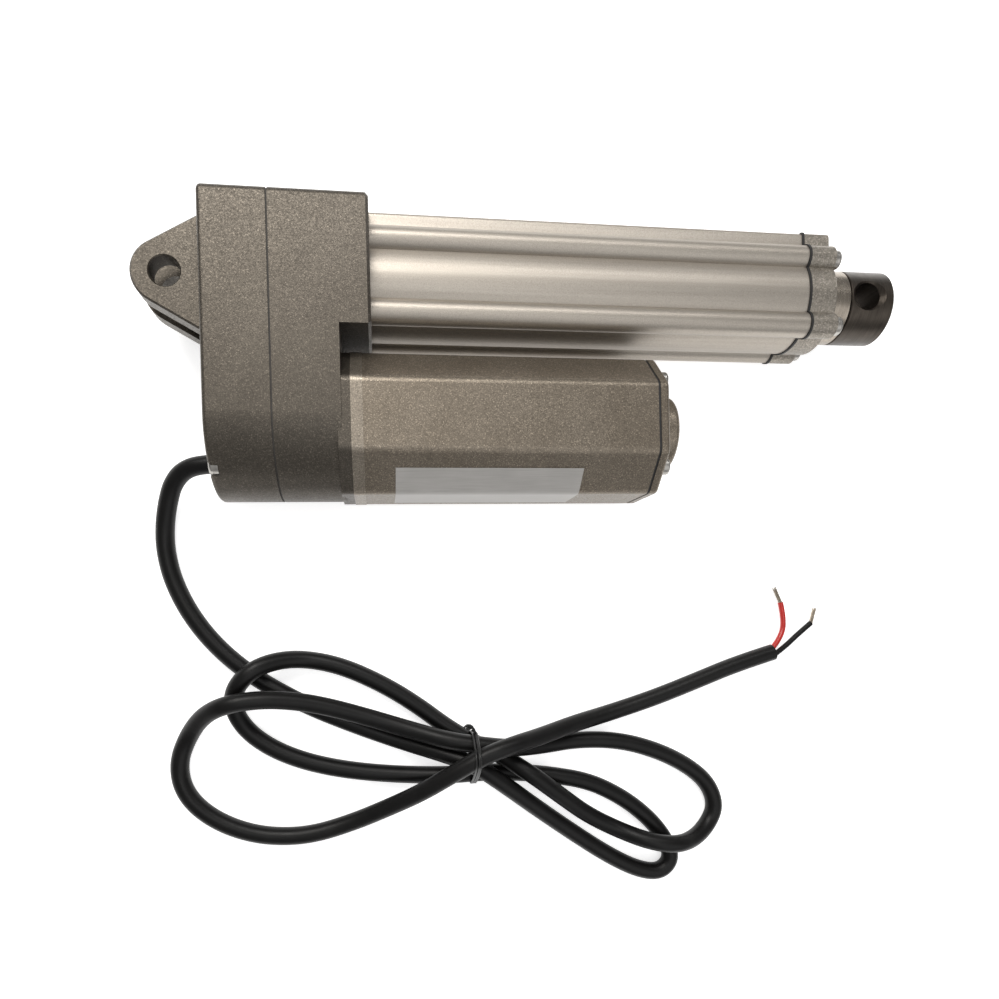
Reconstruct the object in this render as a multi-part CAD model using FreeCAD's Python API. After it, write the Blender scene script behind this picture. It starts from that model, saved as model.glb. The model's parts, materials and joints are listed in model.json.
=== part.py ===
import FreeCAD, Part
import math
import os

# Linear actuator lying on its side. Millimetres. The origin is the centre of the rear clevis bore,
# +X runs along the rod towards the rod end, +Y from the motor to the tube, +Z is up off the table.

V = FreeCAD.Vector
TURN = 2 * math.pi

# ---- driving dimensions -------------------------------------------------------------------------
STROKE = 100.0
DEAD_LENGTH = 105.0            # bore to bore with the rod drawn in, less the stroke
PIN_BORE_R = 4.1

RUNNING = 0.05                 # radial play of a shaft or rod in its bush
SLIDING = 0.3                  # play of a part that moves past another without guiding it
SLIP = 0.15                    # play of a fixed part in its pocket
SCREW_SLIP = 0.2               # radial play of a screw in a plain hole

# housing: rear cover, gasket and gear housing share one outline
HOUSING_REAR_X = 11.0
HOUSING_HALF_Z = 20.0
HOUSING_TOP_Y = 18.0
COVER_LENGTH = 17.25
GASKET_T = 0.5
GEAR_HOUSING_LENGTH = 17.45
TUBE_BLOCK_LENGTH = 8.4        # how far the upper block goes on past the lower one
TUBE_BLOCK_BOTTOM_Y = -17.0
MOTOR_SEAT_T = 2.4
REAR_WALL = 3.5
EDGE_ROUND = 1.2
TOP_EDGE_R = 2.2
CHAMBER_WALL = 3.0
GEAR_SIDE_GAP = 0.7
LOWER_CHAMBER_R = 14.5

# rear clevis
EAR_R = 9.0
CLEVIS_HALF_Z = 8.85
CLEVIS_SLOT_HALF = 3.1
FLANK_ANGLE = math.radians(30)
EAR_BEVEL = 0.5
BORE_BEVEL = 0.3

# gear train: all gears share one tooth size
MODULE = 0.8
PRESSURE = math.radians(25)
ADDENDUM = 0.9 * MODULE
DEDENDUM = 1.15 * MODULE
BACKLASH = 0.14
PINION_TEETH = 11
WHEEL_TEETH = 39
IDLER_TEETH = 12
SCREW_GEAR_TEETH = 39
WHEEL_T = 5.0
SCREW_GEAR_T = 6.5
GEAR_GAP = 1.5                 # between the planes of the two gear pairs
IDLER_PIN_R = 2.5
PIN_SEAT = 6.0
BLIND_FLOOR = 1.5              # wall left behind a blind hole in the rear wall

# lead screw and its bearing
SCREW_R = 4.6
SEAT_R = 5.0
JOURNAL_R = 3.0
JOURNAL_BUSH_R = 5.0
BEARING_R = 13.0
BEARING_T = 7.5
RACE_T = 2.4
BALL_R = 1.9
BALL_COUNT = 9
BALL_PLAY = 0.05
CLIP_T = 0.9
CLIP_W = 1.8
COLLAR_T = 3.7
COLLAR_R = 8.0
SCREW_TAIL = 14.0              # thread beyond the nut when the rod is fully out

# outer tube
TUBE_R = 13.7
TUBE_BORE_R = 12.0
TUBE_SOCKET_DEPTH = 6.0
BOSS_R = 3.6
BOSS_Y = 9.9
BOSS_Z = 10.4
CHAMBER_TOP_Y = 17.9
CHAMBER_HALF_Z = 10.2
CHAMBER_ROOF = 1.5
CHAMBER_FLOOR_Y = 13.6
CHAMBER_SIDE = 1.7
CHAMBER_EDGE_R = 1.2
CAM_SLOT_HALF = 2.6
TUBE_GASKET_T = 0.7
TUBE_GASKET_PROUD = 0.35
CAP_PROUD = 0.1
CAP_LENGTH = 8.3
CAP_SETBACK = 12.8             # from the front bore's axis back to the cap's front face

# rod
ROD_R = 10.7
ROD_BORE_R = 8.5
ROD_END_LENGTH = 14.15
ROD_END_FRONT = 8.35           # from the front bore's axis to the rod end's front face
ROD_NECK_T = 0.6
ROD_NECK_DEPTH = 0.7
ROD_END_BEVEL = 0.6
SPIGOT_LENGTH = 12.6
ROD_PIN_R = 1.5
NUT_FLANGE_T = 6.0
NUT_LENGTH = 16.0
NUT_REAR_GAP = 1.4             # from the tube's rear end to the nut
GUIDE_LENGTH = 13.0
WIPER_R = 11.5
WIPER_T = 2.9
WIPER_PROUD = 0.6
CAM_LENGTH = 4.0
CAM_TOP_Y = 14.6
BOARD_T = 1.1
BOARD_TOP_GAP = 0.2
BOARD_HALF_Z = 7.4
SWITCH_LENGTH = 9.0
SWITCH_W = 4.0
SWITCH_H = 1.2

# motor
MOTOR_HALF = 19.6              # half the width across the cover's flats
MOTOR_FACET_HALF = 9.6
MOTOR_CORNER_R = 3.0
MOTOR_FLANGE_T = 3.2
MOTOR_FLANGE_PROUD = 0.15
MOTOR_COVER_LENGTH = 81.5
MOTOR_COVER_WALL = 1.6
MOTOR_GASKET_T = 0.7
MOTOR_CAP_T = 2.6
MOTOR_CAP_ROUND = 1.0
MOTOR_BOSS_R = 11.0
MOTOR_BOSS_LENGTH = 7.0
MOTOR_BOSS_BEVEL = 1.4
PILOT_R = 8.0
PILOT_LENGTH = 4.0
SHAFT_R = 1.6
BUSH_R = 4.0
HUB_R = 8.0
HUB_LENGTH = 5.5
CAN_R = 15.9
CAN_WALL = 1.1
MAGNET_T = 2.5
MAGNET_LENGTH = 48.0
MAGNET_START = 12.5            # from the flange's front face
AIR_GAP = 0.5
ARMATURE_SLOTS = 5
ARMATURE_SLOT_R = 2.2
ARMATURE_SLOT_AT = 8.3
ARMATURE_MOUTH = 1.4
WINDING_R = 9.4
WINDING_END = 5.0
COMMUTATOR_R = 5.0
COMMUTATOR_LENGTH = 8.5
BRUSH_W = 4.0
BRUSH_T = 3.2
HOLDER_T = 6.0
HOLDER_BORE_R = 6.5

# fasteners: shank radius, head radius, head height
HOUSING_SCREW = (1.5, 2.8, 2.6)
CAP_SCREW = (1.5, 2.7, 2.3)
MOTOR_SCREW = (1.4, 2.4, 2.0)
FLANGE_SCREW = (1.6, 3.1, 1.8)
HOUSING_SCREW_INSET = 4.4      # from the housing's flat sides
HOUSING_SCREW_GRIP = 12.0
CAP_SCREW_GRIP = 8.0
MOTOR_SCREW_AT = 17.45         # from the motor axis
FLANGE_SCREW_AT = 11.5
FLANGE_SCREW_GRIP = 7.0
DRIVE_DEPTH = 1.1

# name plate on the cover's lower slope
PLATE_START = 8.3              # from the cover's rear end
PLATE_LENGTH = 52.5
PLATE_T = 0.15
PLATE_TOP_Y = -54.0
PLATE_WRAP_Z = -5.0

# cord
CORD_R = 2.75
CORE_R = 0.9
STRAND_R = 0.6
GLAND_Y = -48.0
GLAND_Z = -8.0
GLAND_R = 4.4
GLAND_STEM_R = 3.2
GLAND_LENGTH = 4.0
GLAND_PLAY = 0.2
STRAND_GAP = 0.4
TIE_X = 83.0
TIE_W = 2.0
TIE_T = 0.7
TIE_PLAY = 0.45

# ---- positions that follow from them ------------------------------------------------------------
CLOSED_LENGTH = DEAD_LENGTH + STROKE
WHEEL_DISTANCE = MODULE * (PINION_TEETH + WHEEL_TEETH) / 2
SCREW_DISTANCE = MODULE * (IDLER_TEETH + SCREW_GEAR_TEETH) / 2
IDLER_Y = -SCREW_DISTANCE
MOTOR_Y = IDLER_Y - WHEEL_DISTANCE

INNER_REAR_X = HOUSING_REAR_X + REAR_WALL
COVER_FRONT_X = HOUSING_REAR_X + COVER_LENGTH
GEAR_HOUSING_X = COVER_FRONT_X + GASKET_T
LOWER_FRONT_X = GEAR_HOUSING_X + GEAR_HOUSING_LENGTH
BLOCK_FRONT_X = LOWER_FRONT_X + TUBE_BLOCK_LENGTH
FLANGE_X = LOWER_FRONT_X + MOTOR_SEAT_T
MOTOR_COVER_X = FLANGE_X + MOTOR_FLANGE_T
MOTOR_GASKET_X = MOTOR_COVER_X + MOTOR_COVER_LENGTH
MOTOR_CAP_X = MOTOR_GASKET_X + MOTOR_GASKET_T
MOTOR_REAR_X = MOTOR_CAP_X + MOTOR_CAP_T

TUBE_START_X = BLOCK_FRONT_X - TUBE_SOCKET_DEPTH
CAP_FRONT_X = CLOSED_LENGTH - CAP_SETBACK
CAP_X = CAP_FRONT_X - CAP_LENGTH
TUBE_END_X = CAP_X - TUBE_GASKET_T

WHEEL_X = INNER_REAR_X + 1.0
SCREW_GEAR_X = WHEEL_X + WHEEL_T + GEAR_GAP
GEAR_END_X = SCREW_GEAR_X + SCREW_GEAR_T
CHAMBER_END_X = GEAR_END_X + 1.5
CLIP_X = CHAMBER_END_X
BEARING_X = CLIP_X + CLIP_T
BEARING_END_X = BEARING_X + BEARING_T
COLLAR_X = BEARING_END_X
THREAD_X = COLLAR_X + COLLAR_T
BLIND_X = HOUSING_REAR_X + BLIND_FLOOR

ROD_END_X = CLOSED_LENGTH + ROD_END_FRONT - ROD_END_LENGTH
ROD_TUBE_END_X = ROD_END_X - ROD_NECK_T
NUT_X = TUBE_START_X + NUT_REAR_GAP
ROD_TUBE_X = NUT_X + NUT_FLANGE_T
NUT_END_X = NUT_X + NUT_LENGTH
SCREW_END_X = NUT_X + NUT_FLANGE_T + STROKE + SCREW_TAIL
GUIDE_X = TUBE_END_X - GUIDE_LENGTH
CAM_X = NUT_X + 1.0
BOARD_TOP_Y = CHAMBER_TOP_Y - CHAMBER_ROOF - BOARD_TOP_GAP
BOARD_Y = BOARD_TOP_Y - BOARD_T

WHEEL_TIP_R = MODULE * WHEEL_TEETH / 2 + ADDENDUM
SCREW_GEAR_TIP_R = MODULE * SCREW_GEAR_TEETH / 2 + ADDENDUM
CAN_BORE_R = CAN_R - CAN_WALL
ARMATURE_R = CAN_BORE_R - MAGNET_T - AIR_GAP
MAGNET_X = MOTOR_COVER_X + MAGNET_START
MAGNET_END_X = MAGNET_X + MAGNET_LENGTH
COMMUTATOR_X = MAGNET_END_X + WINDING_END + 1.0
HUB_X = MOTOR_CAP_X - HUB_LENGTH

TABLE_Z = -HOUSING_HALF_Z
CORD_Z = TABLE_Z + CORD_R
CORE_Z = TABLE_Z + CORE_R
GLAND_X = HOUSING_REAR_X - GLAND_LENGTH

# The cord's route from the gland: corners of its path, each with its height above the table lie.
CORD_ROUTE = [
    (10.6, GLAND_Y, GLAND_Z - CORD_Z), (5.0, -48.05, 9.05), (-0.8, -49.2, 7.65),
    (-4.9, -52.6, 5.25), (-7.2, -57.8, 3.0), (-8.9, -64.6, 0.9),
    (-9.2, -72.3, 0), (-7.3, -81.5, 0), (-2.8, -91.5, 0), (3.8, -100.8, 0), (12.0, -108.8, 0),
    (21.5, -115.6, 0), (33.5, -122.3, 0), (48.5, -129.0, 0), (62.5, -134.4, 0.8),
    (73.5, -137.6, 4.6), (83.0, -141.0, 7.6), (92.0, -147.6, 7.2), (103.5, -157.0, 3.0),
    (116.5, -167.0, 0), (128.0, -175.0, 0), (138.0, -180.4, 0), (145.6, -181.8, 0),
    (149.9, -177.4, 0), (147.7, -170.8, 0), (142.3, -163.6, 0), (133.5, -156.2, 0),
    (122.0, -150.0, 0), (109.0, -147.2, 0), (97.5, -145.7, 0), (87.0, -144.8, 1.3),
    (75.0, -145.3, 1.0), (58.0, -144.3, 0), (42.5, -142.0, 0), (30.0, -138.6, 0),
    (20.0, -133.9, 0), (12.8, -127.8, 0.4), (9.6, -120.6, 2.6), (11.0, -114.4, 5.6),
    (16.2, -109.2, 6.6), (22.8, -106.8, 3.4), (31.0, -106.6, 0), (42.5, -109.2, 0),
    (55.5, -115.6, 0), (66.0, -122.6, 0), (74.5, -129.4, 0.6), (82.5, -134.6, 1.6),
    (91.5, -139.0, 2.2), (101.0, -145.0, 7.0), (110.5, -152.6, 5.0), (120.5, -160.6, 1.4),
    (130.5, -166.0, 1.6), (139.5, -169.2, 6.2), (148.5, -170.8, 7.0), (156.5, -170.4, 3.2),
    (163.0, -166.6, 0), (165.8, -160.4, 0), (163.0, -152.6, 0), (155.5, -146.2, 0),
    (145.0, -140.8, 0), (132.5, -137.0, 0), (118.5, -136.0, 0), (105.5, -137.0, 2.5),
    (95.0, -136.3, 8.3), (85.5, -134.9, 9.0), (75.0, -133.0, 8.4), (63.5, -129.6, 5.4),
    (50.5, -125.2, 4.5), (38.5, -121.2, 5.9), (28.5, -118.8, 7.6), (18.5, -117.8, 9.8),
    (9.0, -118.8, 10.8), (1.6, -122.4, 6.0), (-4.0, -129.0, 1.0), (-7.3, -137.0, 0),
    (-6.2, -145.6, 0), (-0.6, -152.8, 0), (8.4, -158.4, 0), (19.0, -161.6, 0),
    (31.5, -162.0, 0), (44.5, -158.7, 0.4), (56.0, -153.6, 4.2), (66.0, -148.4, 9.2),
    (75.0, -142.6, 13.0), (84.0, -137.4, 14.8), (93.5, -134.3, 14.4), (104.0, -132.8, 9.0),
    (116.0, -130.2, 3.8), (130.0, -127.6, 0), (145.5, -123.2, 0), (160.5, -118.0, 0),
    (174.5, -113.0, 0), (187.5, -109.5, 0),
]
# The outermost strands under the tie, each as (y, height above the table lie).
TIE_STRANDS = [(-145.0, 1.3), (-134.8, 1.6), (-134.4, 8.9), (-138.0, 14.7)]
RED_ROUTE = [(187.6, -108.3, -17.6), (191.6, -104.6, -18.6), (193.2, -98.6, CORE_Z),
             (191.9, -92.6, CORE_Z)]
BLACK_ROUTE = [(188.0, -110.7, -17.6), (193.0, -107.8, -18.6), (198.0, -103.8, CORE_Z),
               (203.0, -100.0, CORE_Z)]
RED_TIP = (189.6, -87.4, CORE_Z)
BLACK_TIP = (204.6, -94.6, CORE_Z)


# ---- shape helpers ------------------------------------------------------------------------------
def rod(r, x0, x1, y=0.0, z=0.0):
    return Part.makeCylinder(r, x1 - x0, V(x0, y, z), V(1, 0, 0))


def ring(r_out, r_in, x0, x1, y=0.0, z=0.0):
    return rod(r_out, x0, x1, y, z).cut(rod(r_in, x0, x1, y, z))


def slab(x0, x1, y0, y1, z0, z1):
    return Part.makeBox(x1 - x0, y1 - y0, z1 - z0, V(x0, y0, z0))


def bore_z(r, x, y, z0, z1):
    return Part.makeCylinder(r, z1 - z0, V(x, y, z0), V(0, 0, 1))


def fuse(shapes):
    return shapes[0].multiFuse(shapes[1:]).removeSplitter()


def cut_all(shape, tools):
    return shape.cut(tools)


def outline(corners):
    """A closed wire in the YZ plane from corners (y, z, radius)."""
    edges, ends = [], []
    count = len(corners)
    for i, (y, z, r) in enumerate(corners):
        here = V(0, y, z)
        before = V(0, *corners[i - 1][:2]) - here
        after = V(0, *corners[(i + 1) % count][:2]) - here
        if r == 0:
            ends.append((here, here))
            continue
        half = before.getAngle(after) / 2
        before.normalize()
        after.normalize()
        reach = r / math.tan(half)
        middle = before + after
        middle.normalize()
        start, end = here + before * reach, here + after * reach
        top = here + middle * (r / math.sin(half) - r)
        edges.append(Part.Arc(start, top, end).toShape())
        ends.append((start, end))
    for i in range(count):
        start, end = ends[i][1], ends[(i + 1) % count][0]
        if start.distanceToPoint(end) > 1e-6:
            edges.append(Part.LineSegment(start, end).toShape())
    return Part.Wire(Part.__sortEdges__(edges))


def prism(wire, x0, x1):
    face = Part.Face(wire)
    face.translate(V(x0, 0, 0))
    return face.extrude(V(x1 - x0, 0, 0))


def edges_at_x(shape, x, longer_than=0.0):
    return [e for e in shape.Edges
            if abs(e.BoundBox.XMin - x) < 1e-4 and abs(e.BoundBox.XMax - x) < 1e-4
            and e.Length > longer_than]


def screw(size, grip, x, y, z, cross=True):
    """A screw along X: its head stands on the plane x, towards +X, and its shank runs back."""
    shank_r, head_r, head_t = size
    head = rod(head_r, x, x + head_t, y, z)
    head = head.makeFillet(head_t * 0.35, edges_at_x(head, x + head_t))
    body = fuse([rod(shank_r, x - grip, x, y, z), head])
    if cross:
        arm, blade = head_r * 0.62, head_r * 0.16
        top = x + head_t
        recess = fuse([slab(top - DRIVE_DEPTH, top, y - arm, y + arm, z - blade, z + blade),
                       slab(top - DRIVE_DEPTH, top, y - blade, y + blade, z - arm, z + arm)])
    else:
        recess = hexagon(head_r * 0.5, x + head_t - DRIVE_DEPTH, x + head_t, y, z)
    return body.cut(recess)


def hexagon(flat_r, x0, x1, y, z):
    corner = flat_r / math.cos(math.pi / 6)
    points = [(y + corner * math.cos(k * TURN / 6), z + corner * math.sin(k * TURN / 6), 0)
              for k in range(6)]
    return prism(outline(points), x0, x1)


def turned_back(shape, x):
    """The shape turned end for end about the plane x."""
    return shape.mirror(V(x, 0, 0), V(1, 0, 0))


def involute(angle):
    return math.tan(angle) - angle


def gear(teeth, x0, x1, y, first_tooth):
    """A spur gear along X. first_tooth is the angle of one tooth's centre from +Y towards +Z."""
    pitch_r = MODULE * teeth / 2
    base_r = pitch_r * math.cos(PRESSURE)
    root_r, tip_r = pitch_r - DEDENDUM, pitch_r + ADDENDUM
    half_pitch = math.pi / (2 * teeth) - BACKLASH / (4 * pitch_r)
    steps = 4
    low = max(base_r, root_r)
    flank = [(root_r, half_pitch + involute(PRESSURE))] if root_r < base_r else []
    for k in range(steps + 1):
        r = low + (tip_r - low) * k / steps
        flank.append((r, half_pitch + involute(PRESSURE) - involute(math.acos(base_r / r))))
    points = []
    for tooth in range(teeth):
        centre = first_tooth + tooth * TURN / teeth
        for side, run in ((-1, flank), (1, flank[::-1])):
            for r, half in run:
                a = centre + side * half
                points.append(V(x0, y + r * math.cos(a), r * math.sin(a)))
    face = Part.Face(Part.makePolygon(points + points[:1]))
    return face.extrude(V(x1 - x0, 0, 0))


def bend_radii(points):
    radii = []
    for a, b, c in zip(points, points[1:], points[2:]):
        half = (b - a).getAngle(c - b) / 2
        radii.append(0.45 * min((b - a).Length, (c - b).Length) / math.tan(half))
    return radii


def round_tube(points, r):
    """A tube along straight runs joined by tangent arcs."""
    radii = bend_radii(points)
    edges, here = [], points[0]
    for (a, b, c), bend in zip(zip(points, points[1:], points[2:]), radii):
        back, on = (a - b).normalize(), (c - b).normalize()
        half = back.getAngle(on) / 2
        reach = bend / math.tan(half)
        start, end = b + back * reach, b + on * reach
        middle = (back + on).normalize()
        top = b + middle * (bend / math.sin(half) - bend)
        edges += [Part.LineSegment(here, start).toShape(), Part.Arc(start, top, end).toShape()]
        here = end
    edges.append(Part.LineSegment(here, points[-1]).toShape())
    path = Part.Wire(edges)
    profile = Part.Wire(Part.makeCircle(r, points[0], points[1] - points[0]))
    solid = path.makePipeShell([profile], True, False)
    print("tube length %.1f, volume share %.4f, bends from %.1f"
          % (path.Length, solid.Volume / (path.Length * math.pi * r * r), min(radii)))
    return solid


def octagon(half, facet_half, corner_r):
    corners = []
    for k in range(4):
        a = k * math.pi / 2
        for side in (-1, 1):
            y = half * math.cos(a) - side * facet_half * math.sin(a)
            z = half * math.sin(a) + side * facet_half * math.cos(a)
            corners.append((MOTOR_Y + y, z, corner_r))
    return outline(corners)


def motor_outline(grow=0.0):
    shift = grow * math.tan(math.pi / 8)
    return octagon(MOTOR_HALF + grow, MOTOR_FACET_HALF + shift, MOTOR_CORNER_R + grow)


def save(name, *solids):
    shape = solids[0] if len(solids) == 1 else Part.makeCompound(list(solids))
    if not shape.isValid():
        print("not valid:", name)
    shape.exportStep("parts/%s.step" % name)


# ---- outlines shared by several pieces ----------------------------------------------------------
def housing_outline(inset=0.0):
    """Flat sides and top, and a round lower end about the motor axis."""
    half, top = HOUSING_HALF_Z - inset, HOUSING_TOP_Y - inset
    low, edge = MOTOR_Y - half, TOP_EDGE_R - inset
    return outline([(low, -half, half), (top, -half, edge), (top, half, edge), (low, half, half)])


def gear_space(x0, x1):
    """The hollow that the gears turn in."""
    return fuse([rod(SCREW_GEAR_TIP_R + GEAR_SIDE_GAP, x0, x1),
                 rod(WHEEL_TIP_R + GEAR_SIDE_GAP, x0, x1, IDLER_Y),
                 rod(LOWER_CHAMBER_R, x0, x1, MOTOR_Y)])


def housing_screw_places():
    z = HOUSING_HALF_Z - HOUSING_SCREW_INSET
    low = (HOUSING_HALF_Z - HOUSING_SCREW_INSET * 0.6) * math.cos(math.pi / 4)
    return [(HOUSING_TOP_Y - HOUSING_SCREW_INSET, side * z) for side in (-1, 1)] + [
        (MOTOR_Y - low, side * low) for side in (-1, 1)]


def tube_section(x0, x1, grow=0.0):
    """The tube's outer form: round, with four screw bosses and a flat-topped channel."""
    bosses = [rod(BOSS_R + grow, x0, x1, y, z) for y, z in boss_places()]
    half, top = CHAMBER_HALF_Z + grow, CHAMBER_TOP_Y + grow
    channel = prism(outline([(0, -half, 0), (top, -half, CHAMBER_EDGE_R),
                             (top, half, CHAMBER_EDGE_R), (0, half, 0)]), x0, x1)
    return fuse([rod(TUBE_R + grow, x0, x1), channel] + bosses)


def boss_places():
    return [(sy * BOSS_Y, sz * BOSS_Z) for sy in (-1, 1) for sz in (-1, 1)]


def motor_screw_places():
    at = MOTOR_SCREW_AT * math.cos(math.pi / 4)
    return [(MOTOR_Y + sy * at, sz * at) for sy in (-1, 1) for sz in (-1, 1)]


def flange_screw_places():
    return [(MOTOR_Y + side * FLANGE_SCREW_AT, 0) for side in (-1, 1)]


# ---- housing ------------------------------------------------------------------------------------
def clevis_form():
    """Both ears and the web behind them, before the slot and the bore are cut."""
    touch_x, touch_y = -EAR_R * math.sin(FLANK_ANGLE), EAR_R * math.cos(FLANK_ANGLE)
    root_x = HOUSING_REAR_X + 1.0
    root_y = touch_y + (root_x - touch_x) * math.tan(FLANK_ANGLE)
    z = -CLEVIS_HALF_Z
    top, low = V(touch_x, touch_y, z), V(touch_x, -touch_y, z)
    edges = [Part.Arc(low, V(-EAR_R, 0, z), top).toShape(),
             Part.LineSegment(top, V(root_x, root_y, z)).toShape(),
             Part.LineSegment(V(root_x, root_y, z), V(root_x, -root_y, z)).toShape(),
             Part.LineSegment(V(root_x, -root_y, z), low).toShape()]
    form = Part.Face(Part.Wire(edges)).extrude(V(0, 0, 2 * CLEVIS_HALF_Z))
    rims = [e for e in form.Edges if abs(e.BoundBox.ZMax - e.BoundBox.ZMin) < 1e-4
            and e.BoundBox.XMin < HOUSING_REAR_X - 1]
    return form.makeChamfer(EAR_BEVEL, rims)


def pin_hole(x, half_z):
    """The clevis pin's bore, with its edges broken."""
    hole = bore_z(PIN_BORE_R, x, 0, -half_z - 1, half_z + 1)
    depth, wide = 2 * BORE_BEVEL, PIN_BORE_R + 2 * BORE_BEVEL
    near = Part.makeCone(PIN_BORE_R, wide, depth, V(x, 0, half_z - BORE_BEVEL), V(0, 0, 1))
    far = Part.makeCone(PIN_BORE_R, wide, depth, V(x, 0, BORE_BEVEL - half_z), V(0, 0, -1))
    return fuse([hole, near, far])


def make_rear_cover():
    body = prism(housing_outline(), HOUSING_REAR_X, COVER_FRONT_X)
    body = body.makeFillet(EDGE_ROUND, edges_at_x(body, HOUSING_REAR_X))
    body = fuse([body, clevis_form()])
    slot = slab(-EAR_R - 1, HOUSING_REAR_X - 1, -2 * EAR_R, 2 * EAR_R,
                -CLEVIS_SLOT_HALF, CLEVIS_SLOT_HALF)
    shank_r, head_r, head_t = HOUSING_SCREW
    tools = [slot, pin_hole(0, CLEVIS_HALF_Z), gear_space(INNER_REAR_X, COVER_FRONT_X),
             rod(JOURNAL_BUSH_R, BLIND_X, INNER_REAR_X),
             rod(IDLER_PIN_R, BLIND_X, INNER_REAR_X, IDLER_Y),
             rod(GLAND_STEM_R, HOUSING_REAR_X, INNER_REAR_X, GLAND_Y, GLAND_Z)]
    for y, z in housing_screw_places():
        tools.append(rod(shank_r + SCREW_SLIP, HOUSING_REAR_X, COVER_FRONT_X, y, z))
        tools.append(rod(head_r + SCREW_SLIP, HOUSING_REAR_X, HOUSING_REAR_X + head_t, y, z))
    save("rear_cover", cut_all(body, tools))


def make_housing_gasket():
    body = prism(housing_outline(0.25), COVER_FRONT_X, GEAR_HOUSING_X)
    holes = [rod(HOUSING_SCREW[0] + SCREW_SLIP, COVER_FRONT_X, GEAR_HOUSING_X, y, z)
             for y, z in housing_screw_places()]
    save("housing_gasket", cut_all(body, [gear_space(COVER_FRONT_X, GEAR_HOUSING_X)] + holes))


def make_gear_housing():
    low = prism(housing_outline(), GEAR_HOUSING_X, LOWER_FRONT_X)
    half, floor, top = HOUSING_HALF_Z, TUBE_BLOCK_BOTTOM_Y, HOUSING_TOP_Y
    section = outline([(floor, -half, 0), (top, -half, TOP_EDGE_R), (top, half, TOP_EDGE_R),
                       (floor, half, 0)])
    block = prism(section, LOWER_FRONT_X - 5, BLOCK_FRONT_X)
    block = block.makeChamfer(0.8, edges_at_x(block, BLOCK_FRONT_X))
    seat = prism(motor_outline(), LOWER_FRONT_X - 1, FLANGE_X)
    body = fuse([low, block, seat])
    tools = [gear_space(GEAR_HOUSING_X, CHAMBER_END_X),
             rod(BEARING_R, CHAMBER_END_X, BEARING_END_X),
             rod(COLLAR_R + 2 * SLIDING, BEARING_END_X, TUBE_START_X),
             tube_section(TUBE_START_X, BLOCK_FRONT_X, SLIP),
             rod(PILOT_R, CHAMBER_END_X, FLANGE_X, MOTOR_Y),
             rod(IDLER_PIN_R, CHAMBER_END_X, CHAMBER_END_X + PIN_SEAT, IDLER_Y)]
    grip = GEAR_HOUSING_X + HOUSING_SCREW_GRIP
    tools += [rod(HOUSING_SCREW[0], GEAR_HOUSING_X, grip, y, z) for y, z in housing_screw_places()]
    tools += [rod(FLANGE_SCREW[0], FLANGE_X - FLANGE_SCREW_GRIP, FLANGE_X, y, z)
              for y, z in flange_screw_places()]
    save("gear_housing", cut_all(body, tools))


def make_housing_screws():
    head_t = HOUSING_SCREW[2]
    seat = HOUSING_REAR_X + head_t
    grip = GEAR_HOUSING_X + HOUSING_SCREW_GRIP - seat
    save("housing_screws", *[turned_back(screw(HOUSING_SCREW, grip, seat, y, z, False), seat)
                             for y, z in housing_screw_places()])


def make_gland():
    collar = rod(GLAND_R, GLAND_X, HOUSING_REAR_X, GLAND_Y, GLAND_Z)
    collar = collar.makeFillet(0.8, edges_at_x(collar, GLAND_X))
    stem = rod(GLAND_STEM_R, HOUSING_REAR_X, INNER_REAR_X, GLAND_Y, GLAND_Z)
    socket = rod(CORD_R + GLAND_PLAY, GLAND_X, HOUSING_REAR_X, GLAND_Y, GLAND_Z)
    save("cord_gland", fuse([collar, stem]).cut(socket))


# ---- gears and lead screw -----------------------------------------------------------------------
def meshing_gap(teeth):
    """First-tooth angle that turns a gap to -Y, where the driving tooth points."""
    return math.pi - math.pi / teeth


def make_gears():
    pinion = gear(PINION_TEETH, WHEEL_X - 0.3, WHEEL_X + WHEEL_T + 0.5, MOTOR_Y, 0.0)
    save("motor_pinion", pinion.cut(rod(SHAFT_R, WHEEL_X - 1, WHEEL_X + WHEEL_T + 1, MOTOR_Y)))

    wheel_end = WHEEL_X + WHEEL_T
    hub_r = MODULE * IDLER_TEETH / 2 - DEDENDUM - 0.1
    wheel = gear(WHEEL_TEETH, WHEEL_X, wheel_end, IDLER_Y, meshing_gap(WHEEL_TEETH))
    holes = [rod(2.6, WHEEL_X, wheel_end, IDLER_Y + 9.5 * math.cos(k * TURN / 6),
                 9.5 * math.sin(k * TURN / 6)) for k in range(6)]
    save("idler_wheel", cut_all(wheel, [rod(hub_r, WHEEL_X, wheel_end, IDLER_Y)] + holes))
    leaf = gear(IDLER_TEETH, wheel_end, GEAR_END_X + 0.5, IDLER_Y, 0.0)
    leaf = fuse([leaf, rod(hub_r, WHEEL_X, wheel_end + 1, IDLER_Y)])
    save("idler_pinion", leaf.cut(rod(IDLER_PIN_R + RUNNING, WHEEL_X, CHAMBER_END_X, IDLER_Y)))
    save("idler_pin", rod(IDLER_PIN_R, BLIND_X, CHAMBER_END_X + PIN_SEAT, IDLER_Y))

    big = gear(SCREW_GEAR_TEETH, SCREW_GEAR_X, GEAR_END_X, 0.0, meshing_gap(SCREW_GEAR_TEETH))
    save("screw_gear", big.cut(rod(SEAT_R, SCREW_GEAR_X, GEAR_END_X)))


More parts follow.
